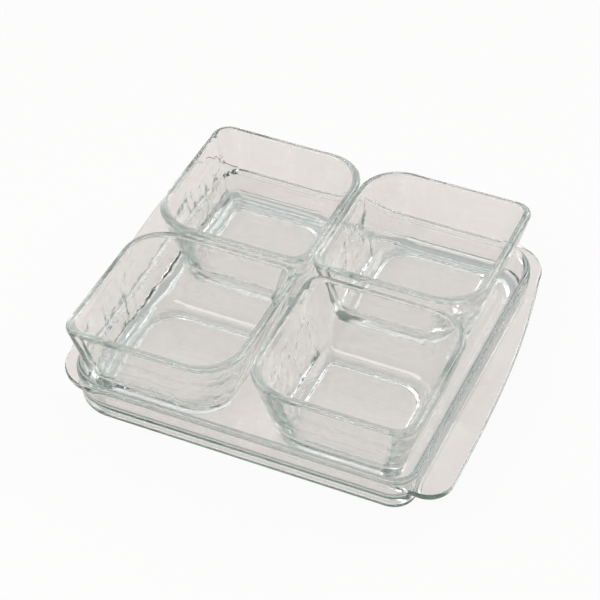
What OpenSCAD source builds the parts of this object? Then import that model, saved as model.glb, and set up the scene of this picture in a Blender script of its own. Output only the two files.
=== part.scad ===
// Pressed glass relish tray: a low square tray with two swept handles and four loose dishes.
// Millimetres, +Z up. The origin is on the table under the middle of the tray.

/* [Dish] */
// Side of a dish across its rim
dish_side = 100; // [85:1:120]
// Height of a dish from foot to rim
dish_h = 48; // [38:1:60]
// Thickness of a dish wall, measured level
dish_wall = 4.6; // [3.5:0.1:6]
// Glass under the inside of a dish
dish_floor = 5.5; // [4:0.1:8]
// Lean of the dish walls from upright, in degrees
dish_lean = 14; // [8:0.5:17]
// Radius of the two wide corners at the rim
dish_wide_r = 25; // [20:0.5:30]
// Radius of the two tight corners at the rim
dish_tight_r = 10; // [8:0.5:14]
// Radius of the wide corners at the foot
foot_wide_r = 21; // [18:0.5:26]
// Radius of the tight corners at the foot
foot_tight_r = 6.5; // [6:0.5:9]
// Radius of the hollow curve from dish wall to dish floor
dish_cove = 11; // [7:0.5:13]
// Rounding of the foot's outer edge
foot_round = 3.5; // [1.5:0.1:4]
// Width of the flat band that a dish stands on
foot_band = 4; // [3:0.5:9]
// Depth of the hollow under a dish
foot_hollow = 2; // [0.6:0.1:2.6]
// Length of the easy ramp from the flat band up into the hollow
foot_ramp = 4.5; // [3:0.5:12]

/* [Tray] */
// Height of the tray from table to rim
tray_h = 23; // [18:0.5:30]
// Thickness of the tray wall, measured level
tray_wall = 3.6; // [3.2:0.1:6]
// Glass under the dishes
tray_floor = 6.4; // [4:0.1:8]
// Lean of the tray wall from upright, in degrees
tray_lean = 5; // [2:0.5:9]
// Radius of the tray's two wide corners at the rim
tray_wide_r = 27; // [24:0.5:32]
// Radius of the tray's two tight corners at the rim
tray_tight_r = 14; // [13:0.5:20]
// Radius of the hollow curve from tray wall to tray floor
tray_cove = 5; // [3:0.5:6]
// Rounding of the tray's bottom edge
base_round = 3; // [1.5:0.1:4]
// Width of the flat band that the tray stands on
base_band = 4; // [3:0.5:10]
// Depth of the hollow under the tray
base_hollow = 2.4; // [0.5:0.1:3]
// Length of the easy ramp from the flat band up into the hollow
base_ramp = 5; // [3:0.5:12]

/* [Handles] */
// Reach of a handle beyond the wall at its wide end
handle_reach = 19.5; // [12:0.5:28]
// Reach of a handle beyond the wall at its narrow end
handle_tail = 6.2; // [4:0.1:10]
// Thickness of a handle
handle_t = 3.6; // [3:0.1:4]
// Drop from the top of the rim to the handle
handle_drop = 1.5; // [1:0.1:1.8]
// Width of the hollow curve from handle to rim
handle_fillet = 3.5; // [1:0.5:3.5]
// Corner radius of a handle's wide end
handle_r = 14; // [10:0.5:18]
// Corner radius of a handle's narrow end
tail_r = 24; // [20:0.5:30]
// How late a handle narrows: 1 is a straight taper
handle_sweep = 2.8; // [1:0.1:4]
// Swell of the rim beyond the wall at the front and back
rim_lip = 0.6; // [0.4:0.1:2]

/* [Standing] */
// Gap between the rims of two dishes that stand square
rim_gap = 3; // [1:0.1:4]
// Room between a dish's foot and the left or right tray wall, for a dish that stands square
side_room = 8.4; // [6:0.1:14]
// Room between a dish's foot and the front or back tray wall, for a dish that stands square
end_room = 9.6; // [6:0.1:14]
// Gap between a dish's foot and the tray floor
seat_gap = 0.25; // [0.2:0.05:0.4]

/* [Hidden] */

// How far each loose dish stands off its quarter of the tray, in rim gaps
back_left_drift = [-0.75, 0.35];
back_right_drift = [-1.55, 0.95];
front_left_drift = [-0.75, 0.45];
front_right_drift = [0.05, 0.3];

// Points on each corner, stretches on each tray side, and steps on the section's curves
arc_steps = 10;
side_steps = 8;
round_steps = 4;
cove_steps = 6;
rim_steps = 4;
fillet_steps = 2;
ramp_steps = 3;
// Share of an inward step by which a tight corner, a wide corner and a tray corner get tighter
tight_share = 0.3;
wide_share = 0.5;
tray_share = 0.8;
// Least radius of a corner
least_r = 1.5;
// Share of the drop that the hollow curve climbs, and its width where there is no handle
fillet_share = 0.4;
fillet_end = 0.2;

glass = [0.82, 0.87, 0.85, 0.45];

// Dish section: the wall lines, the rim's circle and the hollow curve inside
rim_r = dish_wall * cos(dish_lean) / 2;
rim_x = dish_side / 2 - rim_r;
rim_z = dish_h - rim_r;
function dish_outer(z) = rim_x + rim_r / cos(dish_lean) + (z - rim_z) * tan(dish_lean);
function dish_inner(z) = dish_outer(z) - dish_wall;
foot_half = dish_outer(0);
foot_x = dish_outer(foot_round * (1 - sin(dish_lean))) - foot_round * cos(dish_lean);
cove_x = dish_inner(dish_floor + dish_cove * (1 - sin(dish_lean))) - dish_cove * cos(dish_lean);

// Tray section, sized from the dishes that the tray holds
quarter = (dish_side + rim_gap) / 2;
well_half = quarter + foot_half + side_room;
stretch = end_room - side_room;
function tray_inner(z) = well_half + (z - tray_floor) * tan(tray_lean);
function tray_outer(z) = tray_inner(z) + tray_wall;
bead_r = tray_wall * cos(tray_lean) / 2;
bead_z = tray_h - bead_r;
bead_x = tray_inner(bead_z) + bead_r / cos(tray_lean);
handle_z = tray_h - handle_drop;
fillet_z = handle_z + fillet_share * handle_drop;
wall_half = tray_outer(handle_z);
base_x = tray_outer(base_round * (1 - sin(tray_lean))) - base_round * cos(tray_lean);
well_x = tray_inner(tray_floor + tray_cove * (1 - sin(tray_lean))) - tray_cove * cos(tray_lean);

function mix(a, b, share) = a + (b - a) * share;

// Points on a curve of the section: centre, radius, first angle, last angle
function bend(x, z, r, from, to, steps) = [
    for (i = [0:steps])
        let (a = mix(from, to, i / steps))
        [x + r * cos(a), z + r * sin(a)]
];

// Points up the easy ramp under a piece, from the hollow out to the flat band
function ramp(x, run, depth) = [
    for (i = [0:ramp_steps])
        let (share = i / ramp_steps)
        [x - run * (1 - share), depth * (1 + cos(180 * share)) / 2]
];

// Corners of a rectangle, counter-clockwise from front right: arc centre and radius
function plain_corners(half, tight, wide) = [
    [half.x - tight, tight - half.y, tight],
    [half.x - wide, half.y - wide, wide],
    [tight - half.x, half.y - tight, tight],
    [wide - half.x, wide - half.y, wide]
];

// Corners of the handle outline, in the same order
wide_end = wall_half + handle_reach;
tail_end = wall_half + handle_tail;
front_end = wall_half + stretch + rim_lip;
handle_corners = [
    [wide_end - handle_r, handle_r - front_end, handle_r],
    [tail_end - tail_r, front_end - tail_r, tail_r],
    [handle_r - wide_end, front_end - handle_r, handle_r],
    [tail_r - tail_end, tail_r - front_end, tail_r]
];

// One level loop round four corners that grow in X and Y, each side swept from wide end to tail
function loop(corners, z, sides, grow = [0, 0]) = [
    for (k = [0:3])
        let (here = corners[k], next = corners[(k + 1) % 4], out = 90 * k)
        let (leave = here + [(here.z + grow.x) * cos(out), (here.z + grow.y) * sin(out), 0])
        let (meet = next + [(next.z + grow.x) * cos(out), (next.z + grow.y) * sin(out), 0])
        each concat(
            [
                for (i = [0:arc_steps])
                    let (a = out - 90 + 90 * i / arc_steps)
                    [here.x + (here.z + grow.x) * cos(a), here.y + (here.z + grow.y) * sin(a), z]
            ],
            [
                for (j = [1:1:sides - 1])
                    let (along = j / sides, across = pow(along, handle_sweep))
                    let (share = k % 2 == 0 ? [across, along] : [along, across])
                    [mix(leave.x, meet.x, share.x), mix(leave.y, meet.y, share.y), z]
            ]
        )
];

// Solid skin through a stack of loops, closed at each end by a flat fan round the middle
module skin(loops) {
    n = len(loops[0]);
    last = len(loops) - 1;
    middles = [[0, 0, loops[0][0].z], [0, 0, loops[last][0].z]];
    points = concat([for (level = loops) each level], middles);
    low = n * len(loops);
    high = low + 1;
    walls = [
        for (k = [0:last - 1], j = [0:n - 1])
            let (a = k * n + j, b = k * n + (j + 1) % n)
            each [[a, a + n, b + n], [a, b + n, b]]
    ];
    ends = [
        for (j = [0:n - 1])
            let (a = j, b = (j + 1) % n)
            each [[low, a, b], [high, last * n + b, last * n + a]]
    ];
    polyhedron(points = points, faces = concat(walls, ends));
}

// Level loop of a dish at a point of its section; the corners open from foot to rim
function dish_loop(p) =
    let (rise = p.y / dish_h, inward = dish_outer(p.y) - p.x)
    let (tight = max(least_r, mix(foot_tight_r, dish_tight_r, rise) - tight_share * inward))
    let (wide = max(least_r, mix(foot_wide_r, dish_wide_r, rise) - wide_share * inward))
    loop(plain_corners([p.x, p.x], tight, wide), p.y, 1);

// Dish with its wide corners at front left and back right
module dish() {
    band_x = foot_x - foot_band;
    under = ramp(band_x, foot_ramp, foot_hollow);
    edge = bend(foot_x, foot_round, foot_round, -90, -dish_lean, round_steps);
    lip = bend(rim_x, rim_z, rim_r, -dish_lean, 0, 1);
    roll = bend(rim_x, rim_z, rim_r, 90 / rim_steps, 180 - dish_lean, 2 * rim_steps - 1);
    cove = bend(cove_x, dish_floor + dish_cove, dish_cove, -dish_lean, -90, cove_steps);
    skin([for (p = concat(under, edge, lip, roll, cove)) dish_loop(p)]);
}

// A loose dish in the quarter that side points to; a turned one stands a quarter turn round
module standing(side, drift, turned) {
    place = side * quarter + drift * rim_gap;
    translate([place.x, place.y, tray_floor + seat_gap])
        rotate([0, 0, turned ? 90 : 0])
            dish();
}

// Level loop of the tray's wall at a point of its section
function tray_loop(p, grow = [0, 0]) =
    let (half = [p.x, p.x + stretch], inward = tray_share * (wall_half - p.x))
    let (tight = max(least_r, tray_tight_r - inward), wide = max(least_r, tray_wide_r - inward))
    loop(plain_corners(half, tight, wide), p.y, side_steps, grow);

module tray() {
    edge_r = handle_t / 2;
    band_x = base_x - base_band;
    bead_from = asin((fillet_z - bead_z) / bead_r);
    under = ramp(band_x, base_ramp, base_hollow);
    edge = bend(base_x, base_round, base_round, -90, -tray_lean, round_steps);
    neck = [tray_outer(handle_z - handle_t), handle_z - handle_t];
    bead = bend(bead_x, bead_z, bead_r, bead_from, 180 - tray_lean, 2 * rim_steps);
    cove = bend(well_x, tray_floor + tray_cove, tray_cove, -tray_lean, -90, cove_steps);
    brim = [
        for (i = [-rim_steps:rim_steps])
            let (a = 90 * i / rim_steps, inset = 1 - cos(a))
            let (z = handle_z - edge_r + edge_r * sin(a))
            loop(handle_corners, z, side_steps, -inset * [edge_r, rim_lip])
    ];
    fillet = [
        for (i = [0:fillet_steps - 1])
            let (a = 90 * i / fillet_steps, z = mix(handle_z, fillet_z, 1 - cos(a)))
            tray_loop([bead[0].x, z], (1 - sin(a)) * [handle_fillet, fillet_end])
    ];
    color(glass)
        skin(concat(
            [for (p = concat(under, edge, [neck])) tray_loop(p)],
            brim,
            fillet,
            [for (p = concat(bead, cove)) tray_loop(p)]
        ));
}

module dish_back_left() {
    color(glass)
        standing([-1, 1], back_left_drift, false);
}

module dish_back_right() {
    color(glass)
        standing([1, 1], back_right_drift, true);
}

module dish_front_left() {
    color(glass)
        standing([-1, -1], front_left_drift, true);
}

module dish_front_right() {
    color(glass)
        standing([1, -1], front_right_drift, false);
}

tray();
dish_back_left();
dish_back_right();
dish_front_left();
dish_front_right();
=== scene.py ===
import math

import bmesh
import bpy
from mathutils import Matrix, Vector


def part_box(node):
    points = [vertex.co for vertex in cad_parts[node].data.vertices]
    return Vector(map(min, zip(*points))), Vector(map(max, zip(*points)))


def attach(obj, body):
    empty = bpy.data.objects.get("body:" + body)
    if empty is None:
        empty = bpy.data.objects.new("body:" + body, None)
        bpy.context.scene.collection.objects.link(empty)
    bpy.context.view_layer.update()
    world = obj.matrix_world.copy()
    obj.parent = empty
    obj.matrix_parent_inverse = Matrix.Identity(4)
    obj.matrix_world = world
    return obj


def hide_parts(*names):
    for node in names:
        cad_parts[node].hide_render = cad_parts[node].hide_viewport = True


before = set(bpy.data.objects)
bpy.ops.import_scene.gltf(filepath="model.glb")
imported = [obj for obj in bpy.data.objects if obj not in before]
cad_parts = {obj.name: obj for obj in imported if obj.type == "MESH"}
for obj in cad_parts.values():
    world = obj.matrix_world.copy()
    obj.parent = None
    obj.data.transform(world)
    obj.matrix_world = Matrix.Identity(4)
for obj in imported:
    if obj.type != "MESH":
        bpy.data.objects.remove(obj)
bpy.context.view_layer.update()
mm = 0.001  # the pieces are sized in millimetres, the studio round them in metres


# node helpers

def addNode(tree, kind, options=None, inputs=None):
    # an input takes a plain value, or a link from another node's socket
    node = tree.nodes.new(kind)
    for name, value in (options or {}).items():
        setattr(node, name, value)
    for name, value in (inputs or {}).items():
        if isinstance(value, bpy.types.NodeSocket):
            tree.links.new(value, node.inputs[name])
        else:
            node.inputs[name].default_value = value
    return node


def mathNode(tree, operation, *values):
    node = addNode(tree, "ShaderNodeMath", {"operation": operation}, dict(enumerate(values)))
    return node.outputs["Value"]


def rangeNode(tree, value, fromRange, toRange=(0.0, 1.0)):
    node = addNode(tree, "ShaderNodeMapRange", inputs={
        "Value": value, "From Min": fromRange[0], "From Max": fromRange[1],
        "To Min": toRange[0], "To Max": toRange[1]})
    return node.outputs["Result"]


# glass finish

surfaceForm = {
    "slowDetail": 1.5,
    "slowBend": 0.8,
    "fineSize": 260.0,  # blobs in a metre, as for the other noises
    "fineDetail": 2.0,
    "fineShare": 0.085,
    "levelRange": (0.45, 1.0),  # from a leaning wall to a flat floor
    "polishRange": (4.5 * mm, 15.0 * mm),
    "smudgeSize": 26.0,
    "smudgeDetail": 5.0,
    "smudgeRoughness": 0.62,
    "smudgeRange": (0.5, 0.78),
    "scuffRange": (0.7 * mm, 0.1 * mm),
    "scuffSize": 320.0,
    "scuffDetail": 4.0,
    "scuffLeast": 0.4,
    "noiseRange": (0.35, 0.65),
}


def pressedGlassGroup():
    form = surfaceForm
    group = bpy.data.node_groups.new("pressedGlassSurface", "ShaderNodeTree")
    sockets = (
        ("INPUT", "NodeSocketFloat", ("Ripple Size", "Floor Ripple", "Front Ripple", "Rim Level",
                                      "Smudge", "Foot Level", "Foot Wear")),
        ("INPUT", "NodeSocketColor", ("Worn Tint", "Clear Tint", "Deep Tint")),
        ("OUTPUT", "NodeSocketColor", ("Tint",)),
        ("OUTPUT", "NodeSocketFloat", ("Roughness", "Ripple")),
    )
    for way, kind, names in sockets:
        for name in names:
            group.interface.new_socket(name=name, in_out=way, socket_type=kind)
    given = group.nodes.new("NodeGroupInput").outputs
    place = group.nodes.new("ShaderNodeTexCoord")
    spot = place.outputs["Object"]
    where = addNode(group, "ShaderNodeSeparateXYZ", inputs={"Vector": spot})
    facing = addNode(group, "ShaderNodeSeparateXYZ", inputs={"Vector": place.outputs["Normal"]})
    # slow ripple left by the mould, with a finer one over it
    slow = addNode(group, "ShaderNodeTexNoise", inputs={
        "Vector": spot, "Scale": given["Ripple Size"],
        "Detail": form["slowDetail"], "Distortion": form["slowBend"]})
    fine = addNode(group, "ShaderNodeTexNoise", inputs={
        "Vector": spot, "Scale": form["fineSize"], "Detail": form["fineDetail"]})
    mixed = addNode(group, "ShaderNodeMix", {"data_type": "FLOAT"}, {
        "Factor": form["fineShare"], "A": slow.outputs["Fac"], "B": fine.outputs["Fac"]})
    # the flat floors came out of the press smoother than the walls
    level = mathNode(group, "ABSOLUTE", facing.outputs["Z"])
    steep = rangeNode(group, level, form["levelRange"], (1.0, given["Floor Ripple"]))
    # walls that face the front or the back are calmer than those that face a side
    sideways = mathNode(group, "ABSOLUTE", facing.outputs["X"])
    along = rangeNode(group, sideways, (0.0, 1.0), (given["Front Ripple"], 1.0))
    # and the rims were fire polished
    below = mathNode(group, "SUBTRACT", given["Rim Level"], where.outputs["Z"])
    polish = rangeNode(group, below, form["polishRange"])
    walls = mathNode(group, "MULTIPLY", steep, along)
    amount = mathNode(group, "MULTIPLY", walls, polish)
    ripple = mathNode(group, "MULTIPLY", mixed.outputs["Result"], amount)
    # smudges from handling
    patch = addNode(group, "ShaderNodeTexNoise", inputs={
        "Vector": spot, "Scale": form["smudgeSize"],
        "Detail": form["smudgeDetail"], "Roughness": form["smudgeRoughness"]})
    smudge = rangeNode(group, patch.outputs["Fac"], form["smudgeRange"], (0.0, given["Smudge"]))
    # scuffs on the band that the piece stands on
    above = mathNode(group, "SUBTRACT", where.outputs["Z"], given["Foot Level"])
    near = rangeNode(group, above, form["scuffRange"])
    scuff = addNode(group, "ShaderNodeTexNoise", inputs={
        "Vector": spot, "Scale": form["scuffSize"], "Detail": form["scuffDetail"]})
    grind = rangeNode(group, scuff.outputs["Fac"], form["noiseRange"], (form["scuffLeast"], 1.0))
    scuffed = mathNode(group, "MULTIPLY", near, grind)
    worn = mathNode(group, "MULTIPLY", scuffed, given["Foot Wear"])
    # the melt is deeper in colour in streaks, mostly on the side walls, and duller where it is scuffed
    streak = rangeNode(group, fine.outputs["Fac"], form["noiseRange"])
    deep = mathNode(group, "MULTIPLY", streak, along)
    tint = addNode(group, "ShaderNodeMix", {"data_type": "RGBA"}, {
        "Factor": deep, "A": given["Clear Tint"], "B": given["Deep Tint"]})
    dull = addNode(group, "ShaderNodeMix", {"data_type": "RGBA"}, {
        "Factor": scuffed, "A": tint.outputs["Result"], "B": given["Worn Tint"]})
    addNode(group, "NodeGroupOutput", inputs={
        "Tint": dull.outputs["Result"], "Ripple": ripple,
        "Roughness": mathNode(group, "MAXIMUM", smudge, worn)})
    return group


def glassMaterial(name, finish):
    material = bpy.data.materials.new(name)
    material.use_nodes = True
    tree = material.node_tree
    shader = tree.nodes["Principled BSDF"]
    shader.inputs["IOR"].default_value = finish["ior"]
    shader.inputs["Transmission Weight"].default_value = 1.0
    shader.inputs["Metallic"].default_value = 0.0
    surface = addNode(tree, "ShaderNodeGroup", {"node_tree": surfaceGroup}, finish["surface"])
    bump = addNode(tree, "ShaderNodeBump", inputs={
        "Strength": finish["rippleStrength"], "Distance": finish["rippleDepth"],
        "Height": surface.outputs["Ripple"]})
    tree.links.new(surface.outputs["Tint"], shader.inputs["Base Color"])
    tree.links.new(surface.outputs["Roughness"], shader.inputs["Roughness"])
    tree.links.new(bump.outputs["Normal"], shader.inputs["Normal"])
    # thick glass turns green and grey along its edges
    melt = addNode(tree, "ShaderNodeVolumeAbsorption", inputs={
        "Color": finish["meltColour"], "Density": finish["meltDensity"]})
    tree.links.new(melt.outputs["Volume"], tree.nodes["Material Output"].inputs["Volume"])
    return material


surfaceGroup = pressedGlassGroup()
dishLow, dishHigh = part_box("dish_back_left")  # the four dishes stand at one level
dishFinish = {
    "ior": 1.5,
    "rippleStrength": 0.7,
    "rippleDepth": 2.3 * mm,
    "meltColour": (0.565, 0.643, 0.605, 1),
    "meltDensity": 9.0,
    "surface": {
        "Ripple Size": 60.0,
        "Floor Ripple": 0.14,
        "Front Ripple": 0.2,
        "Rim Level": dishHigh[2],
        "Smudge": 0.02,
        "Foot Level": dishLow[2],
        "Foot Wear": 0.12,
        "Worn Tint": (0.74, 0.79, 0.785, 1),
        "Clear Tint": (1.0, 0.999, 0.997, 1),
        "Deep Tint": (0.97, 0.972, 0.967, 1),
    },
}
trayLow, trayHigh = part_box("tray")
trayFinish = {
    "ior": 1.5,
    "rippleStrength": 0.7,
    "rippleDepth": 0.12 * mm,
    "meltColour": (0.537, 0.623, 0.595, 1),
    "meltDensity": 14.0,
    "surface": {
        "Ripple Size": 70.0,
        "Floor Ripple": 0.12,
        "Front Ripple": 1.0,
        "Rim Level": trayHigh[2],
        "Smudge": 0.03,
        "Foot Level": trayLow[2],
        "Foot Wear": 0.08,
        "Worn Tint": (0.9, 0.92, 0.91, 1),
        "Clear Tint": (0.992, 0.991, 0.989, 1),
        "Deep Tint": (0.952, 0.956, 0.951, 1),
    },
}
dishGlass = glassMaterial("dishGlass", dishFinish)
trayGlass = glassMaterial("trayGlass", trayFinish)
print("glass finish ready")


# lofted glass shells

shellForm = {
    "leastCorner": 1.5,  # keeps the inner rings from closing up at a corner
    "endBorder": 1.0,
    "sharpAngle": 32.0,
    "hollowSteps": 8,
    "ringGap": 20.0,
    "onSide": 0.001,  # how near to the side line a corner of an edge counts as on it
}


def roundedRing(bm, half, tight, wide, steps, sideCuts=0):
    # a flat rectangle with tight corners at front right and back left, wide ones at the others
    earlier = set(bm.edges)
    verts = bmesh.ops.create_grid(bm, x_segments=1, y_segments=1, size=1.0)["verts"]
    bmesh.ops.scale(bm, vec=(half[0] * mm, half[1] * mm, 1), verts=verts)
    tightCorners = [v for v in verts if v.co.x * v.co.y < 0]
    wideCorners = [v for v in verts if v.co.x * v.co.y > 0]
    for corners, radius in ((tightCorners, tight), (wideCorners, wide)):
        bmesh.ops.bevel(
            bm, geom=corners, offset=max(radius, shellForm["leastCorner"]) * mm, offset_type="OFFSET",
            segments=steps, profile=0.5, affect="VERTICES", material=-1, clamp_overlap=False)
    bmesh.ops.delete(bm, geom=bm.faces[:], context="FACES_ONLY")
    ring = [e for e in bm.edges if e not in earlier]
    if sideCuts:
        sides = [e for e in ring
                 if all(abs(abs(v.co.x) - half[0] * mm) < shellForm["onSide"] * mm for v in e.verts)]
        bmesh.ops.subdivide_edges(bm, edges=sides, cuts=sideCuts)
        ring = [e for e in bm.edges if e not in earlier]
    return ring


def ringVerts(ring):
    return list(dict.fromkeys(v for e in ring for v in e.verts))


def joinRings(bm, rings, heights):
    # the skin is made while the rings hang well apart, then each ring moves to its own height
    gap = shellForm["ringGap"]
    for i, ring in enumerate(rings):
        bmesh.ops.translate(bm, vec=(0, 0, gap * i * mm), verts=ringVerts(ring))
    for low, high in zip(rings, rings[1:]):
        bmesh.ops.bridge_loops(bm, edges=low + high)
    for i, ring in enumerate(rings):
        bmesh.ops.translate(bm, vec=(0, 0, (heights[i] - gap * i) * mm), verts=ringVerts(ring))
    # flat ends, with a narrow border that keeps their shading flat
    ends = [bmesh.ops.edgeloop_fill(bm, edges=ring)["faces"][0] for ring in (rings[0], rings[-1])]
    bmesh.ops.inset_individual(bm, faces=ends, thickness=shellForm["endBorder"] * mm)
    bmesh.ops.recalc_face_normals(bm, faces=bm.faces)


def sectionCurve(x, z, radius, first, last, steps):
    angles = [math.radians(first + (last - first) * i / steps) for i in range(steps + 1)]
    return [(x + radius * math.cos(a), z + radius * math.sin(a)) for a in angles]


def softHollow(x, run, depth):
    # an easy ramp from the hollow under a piece down to the band that it stands on
    steps = shellForm["hollowSteps"]
    shares = [i / steps for i in range(steps + 1)]
    return [(x - run * (1 - t), depth * (1 + math.cos(math.pi * t)) / 2) for t in shares]


def glassPiece(bm, name, material):
    mesh = bpy.data.meshes.new(name)
    bm.to_mesh(mesh)
    bm.free()
    mesh.shade_smooth()
    mesh.set_sharp_from_angle(angle=math.radians(shellForm["sharpAngle"]))
    mesh.materials.append(material)
    piece = bpy.data.objects.new(name, mesh)
    bpy.context.scene.collection.objects.link(piece)
    return piece


# dishes

dishForm = {
    "side": 100.0,
    "height": 48.0,
    "wall": 4.6,
    "floor": 5.5,
    "lean": 14.0,
    "wideRim": 25.0,
    "tightRim": 10.0,
    "wideFoot": 21.0,
    "tightFoot": 6.5,
    "cove": 11.0,
    "footRound": 3.5,
    "footBand": 4.0,
    "footHollow": 2.0,
    "hollowRun": 4.5,
    "tightShare": 0.3,  # how much of the way inward comes off the corner radius
    "wideShare": 0.5,
    "cornerSteps": 14,
    "footSteps": 8,
    "rimSteps": 20,
    "coveSteps": 14,
}


def dishSection(form):
    lean = math.radians(form["lean"])
    rim = form["wall"] * math.cos(lean) / 2
    rimX, rimZ = form["side"] / 2 - rim, form["height"] - rim

    def outer(z):
        return rimX + rim / math.cos(lean) + (z - rimZ) * math.tan(lean)

    def inner(z):
        return outer(z) - form["wall"]

    foot, cove = form["footRound"], form["cove"]
    footX = outer(foot * (1 - math.sin(lean))) - foot * math.cos(lean)
    coveX = inner(form["floor"] + cove * (1 - math.sin(lean))) - cove * math.cos(lean)
    bandX = footX - form["footBand"]
    points = softHollow(bandX, form["hollowRun"], form["footHollow"])
    points += sectionCurve(footX, foot, foot, -90, -form["lean"], form["footSteps"])
    points += sectionCurve(rimX, rimZ, rim, -form["lean"], 180 - form["lean"], form["rimSteps"])
    points += sectionCurve(coveX, form["floor"] + cove, cove, -form["lean"], -90, form["coveSteps"])
    return points, outer


def makeDish(name, node, body, turned):
    form = dishForm
    points, outer = dishSection(form)
    bm = bmesh.new()
    rings = []
    for x, z in points:
        rise, inward = z / form["height"], outer(z) - x
        tight = form["tightFoot"] + (form["tightRim"] - form["tightFoot"]) * rise
        wide = form["wideFoot"] + (form["wideRim"] - form["wideFoot"]) * rise
        rings.append(roundedRing(
            bm, (x, x), tight - form["tightShare"] * inward, wide - form["wideShare"] * inward,
            form["cornerSteps"]))
    joinRings(bm, rings, [z for x, z in points])
    if turned:
        quarter = Matrix.Rotation(math.radians(90), 3, "Z")
        bmesh.ops.rotate(bm, cent=(0, 0, 0), matrix=quarter, verts=bm.verts)
    low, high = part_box(node)
    seat = ((low[0] + high[0]) / 2, (low[1] + high[1]) / 2, low[2])
    bmesh.ops.translate(bm, vec=seat, verts=bm.verts)
    piece = glassPiece(bm, name, dishGlass)
    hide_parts(node)
    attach(piece, body)
    print("dish", name, len(piece.data.polygons), "faces")


makeDish("dishBackLeft", "dish_back_left", "back_left_dish", False)
makeDish("dishBackRight", "dish_back_right", "back_right_dish", True)
makeDish("dishFrontLeft", "dish_front_left", "front_left_dish", True)
makeDish("dishFrontRight", "dish_front_right", "front_right_dish", False)


# tray

trayForm = {
    "height": 23.0,
    "wall": 3.6,
    "floor": 6.4,
    "lean": 5.0,
    "stretch": 1.2,  # each half is longer from front to back by this much
    "wideCorner": 27.0,
    "tightCorner": 14.0,
    "cornerShare": 0.8,
    "cove": 5.0,
    "baseRound": 3.0,
    "baseBand": 4.0,
    "baseHollow": 2.4,
    "hollowRun": 5.0,
    "cornerSteps": 14,
    "sideCuts": 20,
    "baseSteps": 8,
    "beadSteps": 16,
    "coveSteps": 12,
}
handleForm = {
    "reach": 19.5,
    "tail": 6.2,
    "thick": 3.6,
    "drop": 1.5,
    "fillet": 3.5,
    "filletShare": 0.4,
    "filletEnd": 0.2,
    "wideRadius": 14.0,
    "tailRadius": 24.0,
    "sweep": 2.8,  # a higher power keeps the handle wide for longer
    "lip": 0.6,
    "edgeSteps": 8,
    "filletSteps": 6,
}


def makeTray():
    form, handle = trayForm, handleForm
    lean = math.radians(form["lean"])
    handleZ = form["height"] - handle["drop"]
    filletZ = handleZ + handle["filletShare"] * handle["drop"]
    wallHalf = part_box("tray")[1][1] / mm - form["stretch"] - handle["lip"]

    def outer(z):
        return wallHalf + (z - handleZ) * math.tan(lean)

    def inner(z):
        return outer(z) - form["wall"]

    bead = form["wall"] * math.cos(lean) / 2
    beadZ = form["height"] - bead
    beadX = inner(beadZ) + bead / math.cos(lean)
    base, cove = form["baseRound"], form["cove"]
    baseX = outer(base * (1 - math.sin(lean))) - base * math.cos(lean)
    wellX = inner(form["floor"] + cove * (1 - math.sin(lean))) - cove * math.cos(lean)
    bandX = baseX - form["baseBand"]
    bm = bmesh.new()
    rings, heights = [], []

    def wallRing(x, z, grow=(0, 0)):
        inward = form["cornerShare"] * (wallHalf - x) - (grow[0] + grow[1]) / 2
        half = (x + grow[0], x + form["stretch"] + grow[1])
        rings.append(roundedRing(
            bm, half, form["tightCorner"] - inward, form["wideCorner"] - inward,
            form["cornerSteps"], form["sideCuts"]))
        heights.append(z)

    def handleRing(inset, z):
        # the outline starts as a rectangle at full reach, then each side sweeps in to its tail
        edge, lip = handle["thick"] / 2 * inset, handle["lip"] * inset
        front = wallHalf + form["stretch"] + handle["lip"]
        ring = roundedRing(
            bm, (wallHalf + handle["reach"] - edge, front - lip), handle["wideRadius"] - edge,
            handle["tailRadius"] - edge, form["cornerSteps"], form["sideCuts"])
        start, stop = (handle["wideRadius"] - front) * mm, (front - handle["tailRadius"]) * mm
        pull = (handle["reach"] - handle["tail"]) * mm
        for v in ringVerts(ring):
            side = 1 if v.co.x > 0 else -1
            along = min(max((v.co.y * side - start) / (stop - start), 0), 1)
            if v.co.x * side > (wallHalf - form["wideCorner"]) * mm:
                v.co.x -= side * pull * along ** handle["sweep"]
        rings.append(ring)
        heights.append(z)

    for x, z in softHollow(bandX, form["hollowRun"], form["baseHollow"]):
        wallRing(x, z)
    for x, z in sectionCurve(baseX, base, base, -90, -form["lean"], form["baseSteps"]):
        wallRing(x, z)
    wallRing(outer(handleZ - handle["thick"]), handleZ - handle["thick"])
    edge, steps = handle["thick"] / 2, handle["edgeSteps"]
    for i in range(-steps, steps + 1):
        turn = math.radians(90 * i / steps)
        handleRing(1 - math.cos(turn), handleZ - edge + edge * math.sin(turn))
    beadFrom = math.degrees(math.asin((filletZ - beadZ) / bead))
    beadCurve = sectionCurve(beadX, beadZ, bead, beadFrom, 180 - form["lean"], form["beadSteps"])
    for i in range(handle["filletSteps"]):
        turn = math.radians(90 * i / handle["filletSteps"])
        spread = 1 - math.sin(turn)
        wallRing(beadCurve[0][0], handleZ + (filletZ - handleZ) * (1 - math.cos(turn)),
                 (handle["fillet"] * spread, handle["filletEnd"] * spread))
    for x, z in beadCurve:
        wallRing(x, z)
    for x, z in sectionCurve(wellX, form["floor"] + cove, cove, -form["lean"], -90, form["coveSteps"]):
        wallRing(x, z)
    joinRings(bm, rings, heights)
    piece = glassPiece(bm, "trayBody", trayGlass)
    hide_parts("tray")
    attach(piece, "tray_body")
    print("tray", len(piece.data.polygons), "faces")


makeTray()


# floor and light

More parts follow.
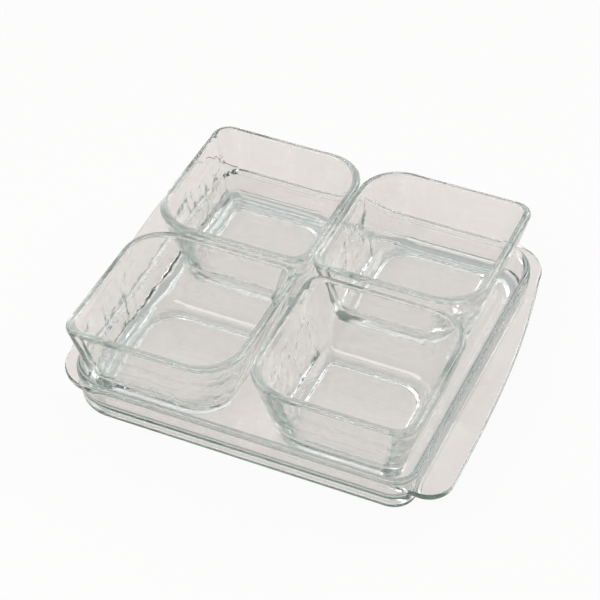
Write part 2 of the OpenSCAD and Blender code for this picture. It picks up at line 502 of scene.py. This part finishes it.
floorForm = {
    "half": 4.0,
    "drop": 0.3 * mm,  # a hair below the tray, so that the two faces don't meet
    "colour": (0.9, 0.855, 0.83, 1),
    "openColour": (1, 1, 1, 1),
    "openShare": 0.93,
    "throughColour": (0.864, 0.81, 0.782, 1),
    "throughShare": 0.76,
    # painted contact shadow, put into the glow that the glass shows
    "paintedShadowColour": (0.54, 0.572, 0.567, 1),
    "paintedShadowReach": 0.8 * mm,
    "paintedShadowSamples": 8,
    # painted falloff of light: the glow that the glass shows dims with distance from the middle
    "paintedFalloffRange": (0.3, 1.4),
    "paintedFarLevel": 0.4,
}


def tableMaterial():
    form = floorForm
    material = bpy.data.materials.new("paleTable")
    material.use_nodes = True
    tree = material.node_tree
    tree.nodes.clear()
    rays = tree.nodes.new("ShaderNodeLightPath").outputs
    place = tree.nodes.new("ShaderNodeTexCoord")
    matt = addNode(tree, "ShaderNodeBsdfDiffuse", inputs={"Color": form["colour"]})
    glow = addNode(tree, "ShaderNodeEmission", inputs={"Color": form["openColour"], "Strength": 1.0})
    # painted shadow: the table's glow seen through the glass is darker where the glass stands on it,
    # found by ambient occlusion
    contact = addNode(tree, "ShaderNodeAmbientOcclusion", {"samples": form["paintedShadowSamples"]}, {
        "Distance": form["paintedShadowReach"]})
    shade = addNode(tree, "ShaderNodeMix", {"data_type": "RGBA"}, {
        "Factor": contact.outputs["AO"], "A": form["paintedShadowColour"], "B": form["throughColour"]})
    # glass shows the pale table more dimly than the open background, with a painted falloff of light that
    # makes the glow dimmer still far off
    away = addNode(tree, "ShaderNodeVectorMath", {"operation": "LENGTH"}, {0: place.outputs["Object"]})
    fade = rangeNode(tree, away.outputs["Value"], form["paintedFalloffRange"], (1.0, form["paintedFarLevel"]))
    dim = addNode(tree, "ShaderNodeEmission", inputs={"Color": shade.outputs["Result"], "Strength": fade})
    through = mathNode(tree, "MAXIMUM", rays["Is Glossy Ray"], rays["Is Transmission Ray"])
    layers = ((through, form["throughShare"], dim), (rays["Is Camera Ray"], form["openShare"], glow))
    surface = matt.outputs["BSDF"]
    for ray, share, light in layers:
        blend = addNode(tree, "ShaderNodeMixShader", inputs={
            "Fac": mathNode(tree, "MULTIPLY", ray, share), 1: surface, 2: light.outputs["Emission"]})
        surface = blend.outputs["Shader"]
    addNode(tree, "ShaderNodeOutputMaterial", inputs={"Surface": surface})
    return material


def makeFloor():
    bm = bmesh.new()
    bmesh.ops.create_grid(bm, x_segments=1, y_segments=1, size=floorForm["half"])
    bmesh.ops.translate(bm, vec=(0, 0, -floorForm["drop"]), verts=bm.verts)
    mesh = bpy.data.meshes.new("floor")
    bm.to_mesh(mesh)
    bm.free()
    mesh.materials.append(tableMaterial())
    floor = bpy.data.objects.new("floor", mesh)
    bpy.context.scene.collection.objects.link(floor)


skyForm = {
    # brightness of the studio from the near side, over the top, to the pale backdrop
    "backdrop": (-0.405, 0.914, 0.0),
    "stops": [(0.0, 0.11), (0.35, 0.11), (0.5, 0.2), (0.7, 0.9), (0.87, 1.0), (1.0, 0.85)],
}


def makeSky():
    world = bpy.data.worlds.new("studio")
    bpy.context.scene.world = world
    world.use_nodes = True
    tree = world.node_tree
    place = tree.nodes.new("ShaderNodeTexCoord")
    toward = addNode(tree, "ShaderNodeVectorMath", {"operation": "DOT_PRODUCT"}, {
        0: place.outputs["Generated"], 1: skyForm["backdrop"]})
    across = rangeNode(tree, toward.outputs["Value"], (-1.0, 1.0))
    ramp = addNode(tree, "ShaderNodeValToRGB", inputs={"Fac": across})
    ramp.color_ramp.interpolation = "EASE"
    marks = ramp.color_ramp.elements
    while len(marks) < len(skyForm["stops"]):
        marks.new(0.5)  # the loop below gives each mark its place
    for mark, (at, level) in zip(marks, skyForm["stops"]):
        mark.position = at
        mark.color = (level, level, level, 1)
    background = tree.nodes["Background"]
    background.inputs["Strength"].default_value = 1.0
    tree.links.new(ramp.outputs["Color"], background.inputs["Color"])


lampForm = {
    "backSoftbox": {"at": (0.8, 1.1, 0.85), "size": (1.2, 0.4), "power": 6.0},
    "frontSoftbox": {"at": (-0.45, -0.95, 1.1), "size": (1.8, 0.4), "power": 11.0},
}


def makeLamps():
    for name, lamp in lampForm.items():
        data = bpy.data.lights.new(name, "AREA")
        data.shape = "RECTANGLE"
        data.size, data.size_y = lamp["size"]
        data.energy = lamp["power"]
        item = bpy.data.objects.new(name, data)
        item.location = lamp["at"]
        item.rotation_euler = Vector(lamp["at"]).to_track_quat("Z", "Y").to_euler()  # aims at the origin
        bpy.context.scene.collection.objects.link(item)


makeFloor()
makeSky()
makeLamps()
print("floor and light ready")


# camera at the photograph's angle

cameraForm = {
    "azimuth": 23.924,
    "elevation": 41.686,
    "lens": 131.34,
    "sensor": 36.0,
    "distance": 1255.0,
    "aim": (-10.74, 11.61, 18.12),
    "clip": (0.05, 20.0),
    "bounces": 128,  # light runs a long way round inside the glass
}


def makeCamera():
    data = bpy.data.cameras.new("camera")
    data.lens = cameraForm["lens"]
    data.sensor_width = cameraForm["sensor"]
    data.clip_start, data.clip_end = cameraForm["clip"]
    item = bpy.data.objects.new("camera", data)
    turn, rise = math.radians(cameraForm["azimuth"]), math.radians(cameraForm["elevation"])
    back = Vector((math.sin(turn) * math.cos(rise), -math.cos(turn) * math.cos(rise), math.sin(rise)))
    item.location = (Vector(cameraForm["aim"]) + back * cameraForm["distance"]) * mm
    item.rotation_euler = back.to_track_quat("Z", "Y").to_euler()
    bpy.context.scene.collection.objects.link(item)
    bpy.context.scene.camera = item


makeCamera()
bpy.context.scene.view_settings.view_transform = "Standard"
bpy.context.scene.cycles.max_bounces = cameraForm["bounces"]
bpy.context.scene.cycles.transmission_bounces = cameraForm["bounces"]
bpy.context.scene.cycles.glossy_bounces = cameraForm["bounces"]
print("camera ready")
